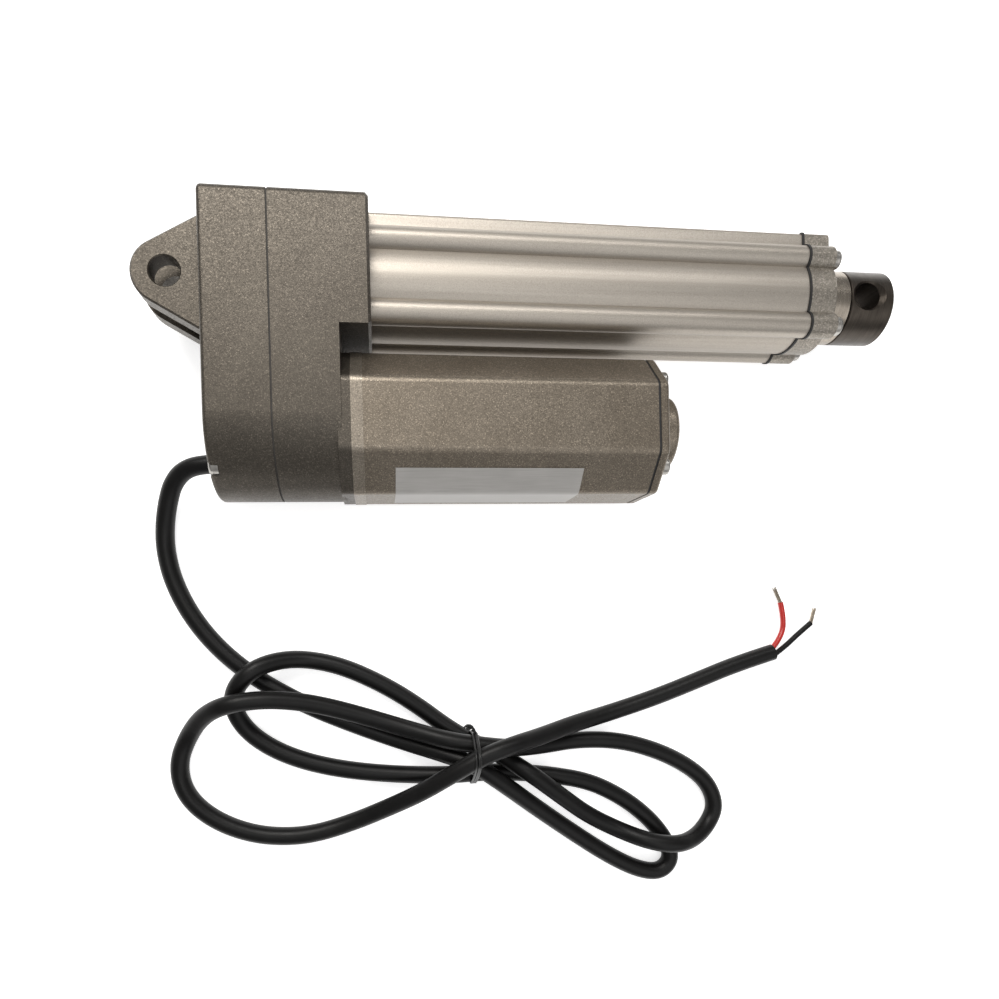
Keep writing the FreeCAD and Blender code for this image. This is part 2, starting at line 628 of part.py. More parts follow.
def make_lead_screw():
    thread = rod(SCREW_R, THREAD_X, SCREW_END_X)
    thread = thread.makeChamfer(1.0, edges_at_x(thread, SCREW_END_X))
    save("lead_screw", fuse([rod(JOURNAL_R, BLIND_X + 0.5, SCREW_GEAR_X),
                             rod(SEAT_R, SCREW_GEAR_X, THREAD_X), thread]))
    save("journal_bush", ring(JOURNAL_BUSH_R, JOURNAL_R + RUNNING, BLIND_X, INNER_REAR_X))
    save("screw_collar", ring(COLLAR_R, SEAT_R, COLLAR_X, THREAD_X))


def make_bearing():
    race_r = (BEARING_R + SEAT_R) / 2
    middle = (BEARING_X + BEARING_END_X) / 2
    groove = Part.makeTorus(race_r, BALL_R + BALL_PLAY, V(middle, 0, 0), V(1, 0, 0))
    save("bearing_outer_ring", ring(BEARING_R, BEARING_R - RACE_T, BEARING_X, BEARING_END_X)
         .cut(groove))
    save("bearing_inner_ring", ring(SEAT_R + RACE_T, SEAT_R, BEARING_X, BEARING_END_X).cut(groove))
    save("bearing_balls", *[Part.makeSphere(BALL_R, V(middle, race_r * math.cos(k * TURN / BALL_COUNT),
                                                      race_r * math.sin(k * TURN / BALL_COUNT)))
                            for k in range(BALL_COUNT)])
    save("bearing_clip", ring(BEARING_R, BEARING_R - CLIP_W, CLIP_X, BEARING_X))


# ---- tube and rod -------------------------------------------------------------------------------
def make_outer_tube():
    body = tube_section(TUBE_START_X, TUBE_END_X)
    roof, side = CHAMBER_TOP_Y - CHAMBER_ROOF, CHAMBER_HALF_Z - CHAMBER_SIDE
    tools = [rod(TUBE_BORE_R, TUBE_START_X, TUBE_END_X),
             slab(TUBE_START_X, TUBE_END_X, CHAMBER_FLOOR_Y, roof, -side, side),
             slab(TUBE_START_X, TUBE_END_X, 0, CHAMBER_FLOOR_Y, -CAM_SLOT_HALF, CAM_SLOT_HALF)]
    tools += [rod(CAP_SCREW[0], TUBE_END_X - CAP_SCREW_GRIP, TUBE_END_X, y, z)
              for y, z in boss_places()]
    save("outer_tube", cut_all(body, tools))


def make_front_cap():
    shank_r = CAP_SCREW[0] + SCREW_SLIP
    gasket = tube_section(TUBE_END_X, CAP_X, TUBE_GASKET_PROUD)
    holes = [rod(shank_r, TUBE_END_X, CAP_FRONT_X, y, z) for y, z in boss_places()]
    save("tube_gasket", cut_all(gasket, [rod(ROD_R + SLIDING, TUBE_END_X, CAP_X)] + holes))
    cap = tube_section(CAP_X, CAP_FRONT_X, CAP_PROUD)
    cap = cap.makeChamfer(0.4, edges_at_x(cap, CAP_FRONT_X, 1.0))
    tools = [rod(ROD_R + SLIDING, CAP_X, CAP_FRONT_X),
             rod(WIPER_R, CAP_FRONT_X + WIPER_PROUD - WIPER_T, CAP_FRONT_X)]
    save("front_cap", cut_all(cap, tools + holes))
    grip = CAP_FRONT_X - TUBE_END_X + CAP_SCREW_GRIP
    save("cap_screws", *[screw(CAP_SCREW, grip, CAP_FRONT_X, y, z) for y, z in boss_places()])
    end = CAP_FRONT_X + WIPER_PROUD
    wiper = rod(WIPER_R, end - WIPER_T, end)
    wiper = wiper.makeChamfer(0.5, edges_at_x(wiper, end))
    save("rod_wiper", wiper.cut(rod(ROD_R + RUNNING, end - WIPER_T, end)))
    save("rod_guide", ring(TUBE_BORE_R, ROD_R + RUNNING, GUIDE_X, TUBE_END_X))


def make_rod():
    flange = rod(TUBE_BORE_R - SLIDING, NUT_X, ROD_TUBE_X)
    nut = fuse([flange, rod(ROD_BORE_R, ROD_TUBE_X, NUT_END_X)])
    cam_notch = slab(CAM_X, CAM_X + CAM_LENGTH, ROD_R - 1.5, CAM_TOP_Y,
                     -CAM_SLOT_HALF + SLIDING, CAM_SLOT_HALF - SLIDING)
    nut = cut_all(nut, [rod(SCREW_R + RUNNING, NUT_X, NUT_END_X), cam_notch])
    save("drive_nut", nut)
    save("switch_cam", cam_notch)

    pin_x = ROD_TUBE_END_X - 0.75 * SPIGOT_LENGTH
    pin_half = ROD_R - 0.2
    pin_hole_shape = bore_z(ROD_PIN_R, pin_x, 0, -ROD_R, ROD_R)
    save("rod_tube", ring(ROD_R, ROD_BORE_R, ROD_TUBE_X, ROD_TUBE_END_X).cut(pin_hole_shape))
    save("rod_pin", bore_z(ROD_PIN_R, pin_x, 0, -pin_half, pin_half))

    front = CLOSED_LENGTH + ROD_END_FRONT
    head = rod(ROD_R, ROD_END_X, front)
    head = head.makeChamfer(ROD_END_BEVEL, edges_at_x(head, front))
    head = head.makeChamfer(ROD_END_BEVEL / 3, edges_at_x(head, ROD_END_X))
    neck = rod(ROD_R - ROD_NECK_DEPTH, ROD_TUBE_END_X, ROD_END_X)
    spigot = rod(ROD_BORE_R, ROD_TUBE_END_X - SPIGOT_LENGTH, ROD_TUBE_END_X)
    bore = bore_z(PIN_BORE_R, CLOSED_LENGTH, 0, -ROD_R - 1, ROD_R + 1)
    bevel_z = ROD_R - 1.35
    sinks = [Part.makeCone(PIN_BORE_R, PIN_BORE_R + 2, 2, V(CLOSED_LENGTH, 0, side * bevel_z),
                           V(0, 0, side)) for side in (-1, 1)]
    save("rod_end", cut_all(fuse([head, neck, spigot]), [bore, pin_hole_shape] + sinks))


def make_switches():
    start, end = NUT_END_X, GUIDE_X
    half = BOARD_HALF_Z
    save("switch_board", slab(start, end, BOARD_Y, BOARD_TOP_Y, -half, half))
    z0 = CAM_SLOT_HALF + SLIDING
    places = (start + 4, end - 4 - SWITCH_LENGTH)
    save("limit_switches", *[slab(x, x + SWITCH_LENGTH, BOARD_Y - SWITCH_H, BOARD_Y, z0, z0 + SWITCH_W)
                             for x in places])


# ---- motor --------------------------------------------------------------------------------------
def make_motor_flange():
    body = prism(motor_outline(MOTOR_FLANGE_PROUD), FLANGE_X, MOTOR_COVER_X)
    body = fuse([body, rod(PILOT_R, FLANGE_X - PILOT_LENGTH, FLANGE_X, MOTOR_Y)])
    shank_r, head_r, head_t = FLANGE_SCREW
    tools = [rod(BUSH_R, FLANGE_X - PILOT_LENGTH, MOTOR_COVER_X, MOTOR_Y)]
    for y, z in flange_screw_places():
        tools.append(rod(shank_r + SCREW_SLIP, FLANGE_X, MOTOR_COVER_X, y, z))
        tools.append(rod(head_r + SCREW_SLIP, MOTOR_COVER_X - head_t, MOTOR_COVER_X, y, z))
    tools += [rod(MOTOR_SCREW[0], FLANGE_X, MOTOR_COVER_X, y, z) for y, z in motor_screw_places()]
    save("motor_flange", cut_all(body, tools))
    seat = MOTOR_COVER_X - head_t
    grip = seat - FLANGE_X + FLANGE_SCREW_GRIP
    save("flange_screws", *[screw(FLANGE_SCREW, grip, seat, y, z) for y, z in flange_screw_places()])


def make_motor_case():
    outer = prism(motor_outline(), MOTOR_COVER_X, MOTOR_GASKET_X)
    inner = prism(motor_outline(-MOTOR_COVER_WALL), MOTOR_COVER_X, MOTOR_GASKET_X)
    save("motor_cover", outer.cut(inner))
    gasket = prism(motor_outline(-0.2), MOTOR_GASKET_X, MOTOR_CAP_X)
    hollow = prism(motor_outline(-MOTOR_COVER_WALL), MOTOR_GASKET_X, MOTOR_CAP_X)
    save("motor_gasket", gasket.cut(hollow))

    plate = prism(motor_outline(), MOTOR_CAP_X, MOTOR_REAR_X)
    plate = plate.makeFillet(MOTOR_CAP_ROUND, edges_at_x(plate, MOTOR_REAR_X))
    boss = rod(MOTOR_BOSS_R, MOTOR_REAR_X, MOTOR_REAR_X + MOTOR_BOSS_LENGTH, MOTOR_Y)
    boss = boss.makeFillet(MOTOR_BOSS_BEVEL, edges_at_x(boss, MOTOR_REAR_X + MOTOR_BOSS_LENGTH))
    cap = fuse([plate, boss, rod(HUB_R, HUB_X, MOTOR_CAP_X, MOTOR_Y)])
    holes = [rod(MOTOR_SCREW[0] + SCREW_SLIP, MOTOR_CAP_X, MOTOR_REAR_X, y, z)
             for y, z in motor_screw_places()]
    save("motor_end_cap", cut_all(cap, [rod(BUSH_R, HUB_X, MOTOR_REAR_X, MOTOR_Y)] + holes))
    grip = MOTOR_REAR_X - FLANGE_X - 0.4
    save("motor_screws", *[screw(MOTOR_SCREW, grip, MOTOR_REAR_X, y, z)
                           for y, z in motor_screw_places()])
    save("motor_can", ring(CAN_R, CAN_BORE_R, MOTOR_COVER_X, MOTOR_CAP_X, MOTOR_Y))
    bore_r = SHAFT_R + RUNNING
    save("motor_front_bush", ring(BUSH_R, bore_r, FLANGE_X - PILOT_LENGTH, MOTOR_COVER_X, MOTOR_Y))
    save("motor_rear_bush", ring(BUSH_R, bore_r, HUB_X, MOTOR_REAR_X, MOTOR_Y))


def make_motor_field():
    magnet = ring(CAN_BORE_R, CAN_BORE_R - MAGNET_T, MAGNET_X, MAGNET_END_X, MOTOR_Y)
    gap = CAN_BORE_R * math.sin(math.radians(26))
    gap_slab = slab(MAGNET_X, MAGNET_END_X, MOTOR_Y - CAN_R, MOTOR_Y + CAN_R, -gap, gap)
    save("motor_magnets", *magnet.cut(gap_slab).Solids)
    holder_x = COMMUTATOR_X + 1.2
    holder = ring(CAN_BORE_R, HOLDER_BORE_R, holder_x, holder_x + HOLDER_T, MOTOR_Y)
    middle = holder_x + HOLDER_T / 2
    reach = CAN_BORE_R - 1.8
    tip = COMMUTATOR_R + SLIDING
    blocks = [slab(middle - BRUSH_T / 2, middle + BRUSH_T / 2, MOTOR_Y + a, MOTOR_Y + b,
                   -BRUSH_W / 2, BRUSH_W / 2) for a, b in ((-reach, -tip), (tip, reach))]
    save("brush_holder", cut_all(holder, blocks))
    save("brushes", *blocks)


def make_rotor():
    slots = []
    for k in range(ARMATURE_SLOTS):
        a = math.degrees(k * TURN / ARMATURE_SLOTS)
        pocket = rod(ARMATURE_SLOT_R, MAGNET_X, MAGNET_END_X, MOTOR_Y + ARMATURE_SLOT_AT)
        mouth = slab(MAGNET_X, MAGNET_END_X, MOTOR_Y + ARMATURE_SLOT_AT, MOTOR_Y + ARMATURE_R + 1,
                     -ARMATURE_MOUTH / 2, ARMATURE_MOUTH / 2)
        slot = fuse([pocket, mouth])
        slot.rotate(V(0, MOTOR_Y, 0), V(1, 0, 0), a)
        slots.append(slot)
    core = rod(ARMATURE_R, MAGNET_X, MAGNET_END_X, MOTOR_Y)
    shaft_hole = rod(SHAFT_R, MAGNET_X - 20, MOTOR_REAR_X, MOTOR_Y)
    save("armature", cut_all(core, slots + [shaft_hole]))
    ends = [rod(WINDING_R, MAGNET_X - WINDING_END, MAGNET_X, MOTOR_Y),
            rod(WINDING_R, MAGNET_END_X, MAGNET_END_X + WINDING_END, MOTOR_Y)]
    bars = [rod(ARMATURE_SLOT_R, MAGNET_X, MAGNET_END_X,
                MOTOR_Y + ARMATURE_SLOT_AT * math.cos(k * TURN / ARMATURE_SLOTS),
                ARMATURE_SLOT_AT * math.sin(k * TURN / ARMATURE_SLOTS))
            for k in range(ARMATURE_SLOTS)]
    save("armature_windings", fuse(ends + bars).cut(shaft_hole))
    save("commutator", ring(COMMUTATOR_R, SHAFT_R, COMMUTATOR_X, COMMUTATOR_X + COMMUTATOR_LENGTH,
                            MOTOR_Y))
    save("motor_shaft", rod(SHAFT_R, WHEEL_X - 0.3, MOTOR_REAR_X - 0.5, MOTOR_Y))


def make_name_plate():
    """A thin blank plate that wraps from the lower slope round the lower flat."""
    x0 = MOTOR_COVER_X + PLATE_START
    x1 = x0 + PLATE_LENGTH
    sheet = prism(motor_outline(PLATE_T), x0, x1).cut(prism(motor_outline(), x0, x1))
    low = MOTOR_Y - MOTOR_HALF - 1
    keep = prism(outline([(low, PLATE_WRAP_Z, 0), (MOTOR_Y, PLATE_WRAP_Z, 0), (PLATE_TOP_Y, 5, 0),
                          (PLATE_TOP_Y, MOTOR_HALF + 1, 0), (low, MOTOR_HALF + 1, 0)]), x0, x1)
    save("name_plate", sheet.common(keep))


# ---- cord ---------------------------------------------------------------------------------------
def make_cord():
    route = [V(x, y, CORD_Z + lift) for x, y, lift in CORD_ROUTE]
    print("cord bend radii:", " ".join("%.0f" % r for r in bend_radii(route)))
    save("cord", round_tube(route, CORD_R))
    for name, core, tip in (("red", RED_ROUTE, RED_TIP), ("black", BLACK_ROUTE, BLACK_TIP)):
        points = [V(*p) for p in core]
        save("%s_core" % name, round_tube(points, CORE_R))
        step = V(*tip) - points[-1]
        start = points[-1] + V(step).normalize() * STRAND_GAP
        save("%s_strands" % name, Part.makeCylinder(STRAND_R, step.Length, start, step))


def make_tie():
    """The band of the twist tie, drawn tight round the bundle of cord."""
    strands = [V(0, y, CORD_Z + lift) for y, lift in TIE_STRANDS]
    hull = Part.makePolygon(strands + strands[:1])
    inner_r = CORD_R + TIE_PLAY
    inner, outer = hull.makeOffset2D(inner_r), hull.makeOffset2D(inner_r + TIE_T)
    start, end = TIE_X - TIE_W / 2, TIE_X + TIE_W / 2
    save("twist_tie", prism(outer, start, end).cut(prism(inner, start, end)))


os.makedirs("parts", exist_ok=True)
make_rear_cover()
make_housing_gasket()
make_gear_housing()
make_housing_screws()
make_gland()
make_gears()
make_lead_screw()
make_bearing()
make_outer_tube()
make_front_cap()
make_rod()
make_switches()
make_motor_flange()
make_motor_case()
make_motor_field()
make_rotor()
make_name_plate()
make_cord()
make_tie()
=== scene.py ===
import json
import math

import bpy
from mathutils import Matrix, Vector


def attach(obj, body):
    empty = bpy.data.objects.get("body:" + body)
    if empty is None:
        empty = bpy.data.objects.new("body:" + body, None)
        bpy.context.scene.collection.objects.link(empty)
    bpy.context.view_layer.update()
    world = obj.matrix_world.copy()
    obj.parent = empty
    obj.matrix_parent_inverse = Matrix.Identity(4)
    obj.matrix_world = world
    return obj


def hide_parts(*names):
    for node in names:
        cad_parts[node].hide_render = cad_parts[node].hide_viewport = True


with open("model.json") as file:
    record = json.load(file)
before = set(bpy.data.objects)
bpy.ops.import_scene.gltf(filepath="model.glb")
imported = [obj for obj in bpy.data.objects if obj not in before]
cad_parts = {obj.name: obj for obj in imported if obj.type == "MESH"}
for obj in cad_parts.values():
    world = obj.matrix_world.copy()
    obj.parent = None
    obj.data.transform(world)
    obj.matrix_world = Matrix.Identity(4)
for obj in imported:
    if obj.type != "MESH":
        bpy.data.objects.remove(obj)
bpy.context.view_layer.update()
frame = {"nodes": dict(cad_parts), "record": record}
NODES = frame["nodes"]

MM = 0.001
TABLE_Z = -20.0
CORD_R = 2.75
CORD_Z = TABLE_Z + CORD_R
CORE_R = 0.9
CORE_Z = TABLE_Z + CORE_R
JACKET_SHINE = 0.24

# The cord's route, corner by corner, in millimetres: x, y, and how far it is lifted off the surface.
CORD_ROUTE = [
    (10.6, -48.0, 9.25), (5.0, -48.05, 9.05), (-0.8, -49.2, 7.65),
    (-4.9, -52.6, 5.25), (-7.2, -57.8, 3.0), (-8.9, -64.6, 0.9),
    (-9.2, -72.3, 0), (-7.3, -81.5, 0), (-2.8, -91.5, 0), (3.8, -100.8, 0), (12.0, -108.8, 0),
    (21.5, -115.6, 0), (33.5, -122.3, 0), (48.5, -129.0, 0), (62.5, -134.4, 0.8),
    (73.5, -137.6, 4.6), (83.0, -141.0, 7.6), (92.0, -147.6, 7.2), (103.5, -157.0, 3.0),
    (116.5, -167.0, 0), (128.0, -175.0, 0), (138.0, -180.4, 0), (145.6, -181.8, 0),
    (149.9, -177.4, 0), (147.7, -170.8, 0), (142.3, -163.6, 0), (133.5, -156.2, 0),
    (122.0, -150.0, 0), (109.0, -147.2, 0), (97.5, -145.7, 0), (87.0, -144.8, 1.3),
    (75.0, -145.3, 1.0), (58.0, -144.3, 0), (42.5, -142.0, 0), (30.0, -138.6, 0),
    (20.0, -133.9, 0), (12.8, -127.8, 0.4), (9.6, -120.6, 2.6), (11.0, -114.4, 5.6),
    (16.2, -109.2, 6.6), (22.8, -106.8, 3.4), (31.0, -106.6, 0), (42.5, -109.2, 0),
    (55.5, -115.6, 0), (66.0, -122.6, 0), (74.5, -129.4, 0.6), (82.5, -134.6, 1.6),
    (91.5, -139.0, 2.2), (101.0, -145.0, 7.0), (110.5, -152.6, 5.0), (120.5, -160.6, 1.4),
    (130.5, -166.0, 1.6), (139.5, -169.2, 6.2), (148.5, -170.8, 7.0), (156.5, -170.4, 3.2),
    (163.0, -166.6, 0), (165.8, -160.4, 0), (163.0, -152.6, 0), (155.5, -146.2, 0),
    (145.0, -140.8, 0), (132.5, -137.0, 0), (118.5, -136.0, 0), (105.5, -137.0, 2.5),
    (95.0, -136.3, 8.3), (85.5, -134.9, 9.0), (75.0, -133.0, 8.4), (63.5, -129.6, 5.4),
    (50.5, -125.2, 4.5), (38.5, -121.2, 5.9), (28.5, -118.8, 7.6), (18.5, -117.8, 9.8),
    (9.0, -118.8, 10.8), (1.6, -122.4, 6.0), (-4.0, -129.0, 1.0), (-7.3, -137.0, 0),
    (-6.2, -145.6, 0), (-0.6, -152.8, 0), (8.4, -158.4, 0), (19.0, -161.6, 0),
    (31.5, -162.0, 0), (44.5, -158.7, 0.4), (56.0, -153.6, 4.2), (66.0, -148.4, 9.2),
    (75.0, -142.6, 13.0), (84.0, -137.4, 14.8), (93.5, -134.3, 14.4), (104.0, -132.8, 9.0),
    (116.0, -130.2, 3.8), (130.0, -127.6, 0), (145.5, -123.2, 0), (160.5, -118.0, 0),
    (174.5, -113.0, 0), (187.5, -109.5, 0),
]
RED_ROUTE = [(187.6, -108.3, -17.6), (191.6, -104.6, -18.6), (193.2, -98.6, CORE_Z),
             (191.9, -92.6, CORE_Z)]
BLACK_ROUTE = [(188.0, -110.7, -17.6), (193.0, -107.8, -18.6), (198.0, -103.8, CORE_Z),
               (203.0, -100.0, CORE_Z)]
RED_TIP = (189.6, -87.4, CORE_Z)
BLACK_TIP = (204.6, -94.6, CORE_Z)

# Bare wire ends: fine strands in rings, each ring as (radius, number of strands), in millimetres.
STRAND_R = 0.15
STRAND_RINGS = [(0.0, 1), (0.30, 5), (0.48, 9)]
STRAND_STEPS = 5
STRAND_TWIST = 1.7
STRAND_FRAY = 0.09
STRAND_FLARE = 0.25
STRAND_FLARE_FROM = 0.75

# The outermost strands of cord under the tie, each as (y, how far it is lifted off the surface).
TIE_STRANDS = [(-145.0, 1.3), (-134.8, 1.6), (-134.4, 8.9), (-138.0, 14.7)]
TIE_X = 83.0
TIE_WIRE_R = 0.34
TIE_PLAY = 0.45
TIE_PITCH = 0.62
TIE_LEANS = [0.18, -0.14, 0.10]

# The tie's two ends twisted together, in millimetres.
KNOT_Y = -131.0
KNOT_Z = -7.4
KNOT_R = 0.42
KNOT_LENGTH = 2.6
KNOT_BOW = 2.6
KNOT_BOW_ANGLE = 2.2
KNOT_RISE = 1.4
KNOT_TWIST = 5.0 * math.pi
KNOT_STEPS = 14
KNOT_CLOSED_STEPS = 11
KNOT_SPREAD = 0.22

# The camera, in metres and radians, with its lens in millimetres.
CAMERA_PLACE = (0.05443, -0.09427, 0.20620)
CAMERA_TURN = (-0.00863, -0.13204, -0.02507)
CAMERA_LENS = 25.224
CAMERA_SENSOR = 36.0
CAMERA_SHIFT = (0.0281, 0.1239)
CAMERA_CLIP = (0.01, 10.0)

# The surroundings, in metres and watts.
FLOOR_HALF_SIDE = 3.0
FLOOR_GAP = 0.0001
FLOOR_SHADE = 0.93
FLOOR_GLOW = 0.66
WORLD_STRENGTH = 0.3
CENTRE = (0.09, -0.07, 0.0)
TUBE_CENTRE = (0.09, -0.02, 0.0)
WHITE = (1.0, 1.0, 1.0)
WARM_WHITE = (1.0, 0.97, 0.92)

# Small cast radius on the castings' sharp edges.
CAST_EDGE = 0.35
CAST_EDGE_SEGMENTS = 3
CAST_EDGE_ANGLE = math.radians(50)

# How a texture is stretched: into rings round X, and into lines along X.
ROUND_X = (1, 0.05, 0.05)
ALONG_X = (0.02, 1, 1)
BRUSHED_ALONG_X = (0.03, 1, 1)


def add_object(name, data):
    obj = bpy.data.objects.new(name, data)
    bpy.context.scene.collection.objects.link(obj)
    return obj


# ---- camera -------------------------------------------------------------------------------------
def make_camera():
    data = bpy.data.cameras.new("camera")
    data.sensor_width = CAMERA_SENSOR
    data.lens = CAMERA_LENS
    data.shift_x, data.shift_y = CAMERA_SHIFT
    data.clip_start, data.clip_end = CAMERA_CLIP
    obj = add_object("camera", data)
    obj.location = CAMERA_PLACE
    obj.rotation_euler = CAMERA_TURN
    bpy.context.scene.camera = obj


# ---- cords --------------------------------------------------------------------------------------
def new_curve(name, bevel_resolution, resolution_u):
    """An empty curve of round wires, in which each point's radius is the wire's own."""
    curve = bpy.data.curves.new(name, "CURVE")
    curve.dimensions = "3D"
    curve.bevel_depth = 1.0
    curve.bevel_resolution = bevel_resolution
    curve.resolution_u = resolution_u
    curve.use_fill_caps = True
    return curve


def add_wire(curve, points, radius, closed=False):
    """One round wire. Its order and ends hold only once its points are there."""
    spline = curve.splines.new("NURBS")
    spline.points.add(len(points) - 1)
    for point, (x, y, z) in zip(spline.points, points):
        point.co = (x * MM, y * MM, z * MM, 1.0)
        point.radius = radius * MM
    spline.order_u = 3
    spline.use_cyclic_u = closed
    spline.use_endpoint_u = not closed


def cord_piece(name, points, radius, bevel_resolution=6):
    curve = new_curve(name, bevel_resolution, resolution_u=10)
    add_wire(curve, points, radius)
    return add_object(name, curve)


def strand_bundle(name, start, tip):
    """Fine tinned wires, laid with a light twist and a slightly frayed end."""
    a, b = Vector(start), Vector(tip)
    along = (b - a).normalized()
    side = along.cross(Vector((0, 0, 1))).normalized()
    up = side.cross(along)
    curve = new_curve(name, bevel_resolution=2, resolution_u=12)
    for ring_r, count in STRAND_RINGS:
        for k in range(count):
            first_angle = k * 2 * math.pi / count
            share = 1.0 - STRAND_FRAY * ((k * 5 + count) % 4)
            wire = []
            for step in range(STRAND_STEPS + 1):
                t = step / STRAND_STEPS * share
                angle = first_angle + STRAND_TWIST * t
                r = ring_r * (1.0 + STRAND_FLARE * max(0.0, t - STRAND_FLARE_FROM) * (k % 3))
                wire.append(a + (b - a) * t + side * r * math.cos(angle) + up * r * math.sin(angle))
            add_wire(curve, wire, STRAND_R)
    return add_object(name, curve)


def make_cords():
    route = [(x, y, CORD_Z + lift) for x, y, lift in CORD_ROUTE]
    cord = cord_piece("cord_visual", route, CORD_R, bevel_resolution=10)
    red = cord_piece("red_core_visual", RED_ROUTE, CORE_R)
    black = cord_piece("black_core_visual", BLACK_ROUTE, CORE_R)
    red_bare = strand_bundle("red_strands_visual", RED_ROUTE[-1], RED_TIP)
    black_bare = strand_bundle("black_strands_visual", BLACK_ROUTE[-1], BLACK_TIP)
    return cord, red, black, red_bare, black_bare


def tie_turn(x, lean):
    """One turn of tie wire round the bundle: points round the hull of its strands."""
    centres = [Vector((y, CORD_Z + lift)) for y, lift in TIE_STRANDS]
    middle = sum(centres, Vector((0, 0))) / len(centres)
    reach = CORD_R + TIE_PLAY + TIE_WIRE_R
    points = []
    count = len(centres)
    for i in range(count):
        here, before, after = centres[i], centres[i - 1], centres[(i + 1) % count]
        for other in (before, after):
            edge = (other - here).normalized()
            out = Vector((-edge.y, edge.x))
            if out.dot(middle - here) > 0:
                out = -out
            points.append(here + out * reach)
        corner = (here - middle).normalized()
        points.insert(-1, here + corner * reach)
    return [(x + lean * math.sin(k * 2 * math.pi / len(points)), p.x, p.y)
            for k, p in enumerate(points)]


def tie_end(phase):
    """One of the tie's two ends, wound round the other and springing open at its tip."""
    points = []
    for k in range(KNOT_STEPS + 1):
        t = k / KNOT_STEPS
        r = KNOT_R + KNOT_SPREAD * max(0, k - KNOT_CLOSED_STEPS)
        angle = phase + t * KNOT_TWIST
        points.append((TIE_X - KNOT_LENGTH * t + r * math.cos(angle),
                       KNOT_Y + KNOT_BOW * math.sin(t * KNOT_BOW_ANGLE) + r * math.sin(angle),
                       KNOT_Z + KNOT_RISE * t))
    return points


def make_tie():
    """A black twist tie: three turns of round wire about the bundle, its ends twisted together."""
    curve = new_curve("twist_tie_visual", bevel_resolution=5, resolution_u=8)
    for turn, lean in enumerate(TIE_LEANS):
        add_wire(curve, tie_turn(TIE_X + (turn - 1) * TIE_PITCH, lean), TIE_WIRE_R, closed=True)
    for phase in (0.0, math.pi):
        add_wire(curve, tie_end(phase), TIE_WIRE_R)
    return add_object("twist_tie_visual", curve)


# ---- materials ----------------------------------------------------------------------------------
class Finish:
    """A node material built up from a few procedural layers in object space, in millimetres."""

    def __init__(self, name, roughness, metallic=0.0):
        self.mat = bpy.data.materials.new(name)
        self.mat.use_nodes = True
        self.tree = self.mat.node_tree
        self.shader = self.tree.nodes["Principled BSDF"]
        self.shader.inputs["Metallic"].default_value = metallic
        self.shader.inputs["Roughness"].default_value = roughness
        self.coords = self.node("ShaderNodeTexCoord").outputs["Object"]

    def node(self, kind, **values):
        made = self.tree.nodes.new(kind)
        for key, value in values.items():
            setattr(made, key, value)
        return made

    def link(self, a, b):
        self.tree.links.new(a, b)

    def stretched(self, stretch):
        if stretch == (1, 1, 1):
            return self.coords
        mapping = self.node("ShaderNodeMapping")
        mapping.inputs["Scale"].default_value = stretch
        self.link(self.coords, mapping.inputs["Vector"])
        return mapping.outputs["Vector"]

    def noise(self, size_mm, detail=2.0, stretch=(1, 1, 1)):
        made = self.node("ShaderNodeTexNoise")
        made.inputs["Scale"].default_value = 1.0 / (size_mm * MM)
        made.inputs["Detail"].default_value = detail
        self.link(self.stretched(stretch), made.inputs["Vector"])
        return made.outputs["Fac"]

    def grains(self, size_mm):
        made = self.node("ShaderNodeTexVoronoi")
        made.inputs["Scale"].default_value = 1.0 / (size_mm * MM)
        self.link(self.coords, made.inputs["Vector"])
        split = self.node("ShaderNodeSeparateColor")
        self.link(made.outputs["Color"], split.inputs["Color"])
        return split.outputs["Red"]

    def ramp(self, value, stops):
        made = self.node("ShaderNodeValToRGB")
        ramp = made.color_ramp
        while len(ramp.elements) < len(stops):
            ramp.elements.new(0.5)
        for element, (at, colour) in zip(ramp.elements, stops):
            element.position = at
            element.color = (*colour, 1.0) if isinstance(colour, tuple) else (colour,) * 3 + (1.0,)
        self.link(value, made.inputs["Fac"])
        return made.outputs["Color"]

    def multiply(self, a, b):
        made = self.node("ShaderNodeMix", data_type="RGBA", blend_type="MULTIPLY")
        made.inputs["Factor"].default_value = 1.0
        self.link(a, made.inputs["A"])
        self.link(b, made.inputs["B"])
        return made.outputs["Result"]

    def colour(self, socket):
        self.link(socket, self.shader.inputs["Base Color"])

    def rough(self, value, low, high):
        made = self.node("ShaderNodeMapRange")
        made.inputs["To Min"].default_value = low
        made.inputs["To Max"].default_value = high
        self.link(value, made.inputs["Value"])
        self.link(made.outputs["Result"], self.shader.inputs["Roughness"])

    def bumps(self, *layers):
        normal = None
        for value, depth_mm, strength in layers:
            made = self.node("ShaderNodeBump")
            made.inputs["Distance"].default_value = depth_mm * MM
            made.inputs["Strength"].default_value = strength
            self.link(value, made.inputs["Height"])
            if normal is not None:
                self.link(normal, made.inputs["Normal"])
            normal = made.outputs["Normal"]
        self.link(normal, self.shader.inputs["Normal"])


def sparkle_paint(name, dark, light, flake, grain_mm, roughness, metallic):
    """Metallic paint over a casting: flakes of differing brightness and a fine orange peel."""
    f = Finish(name, roughness, metallic)
    patch = f.ramp(f.noise(14.0, 3.0), [(0.3, dark), (0.7, light)])
    specks = f.ramp(f.grains(grain_mm), [(0.0, 0.74), (0.6, 0.97), (0.9, 1.2), (1.0, flake)])
    fine = f.ramp(f.noise(grain_mm * 1.9, 2.0), [(0.3, 0.86), (0.7, 1.12)])
    f.colour(f.multiply(f.multiply(patch, specks), fine))
    f.rough(f.grains(grain_mm * 1.3), roughness - 0.09, roughness + 0.12)
    f.bumps((f.noise(2.6, 2.0), 0.05, 0.35), (f.noise(grain_mm * 1.4, 1.0), 0.03, 0.6))
    return f.mat


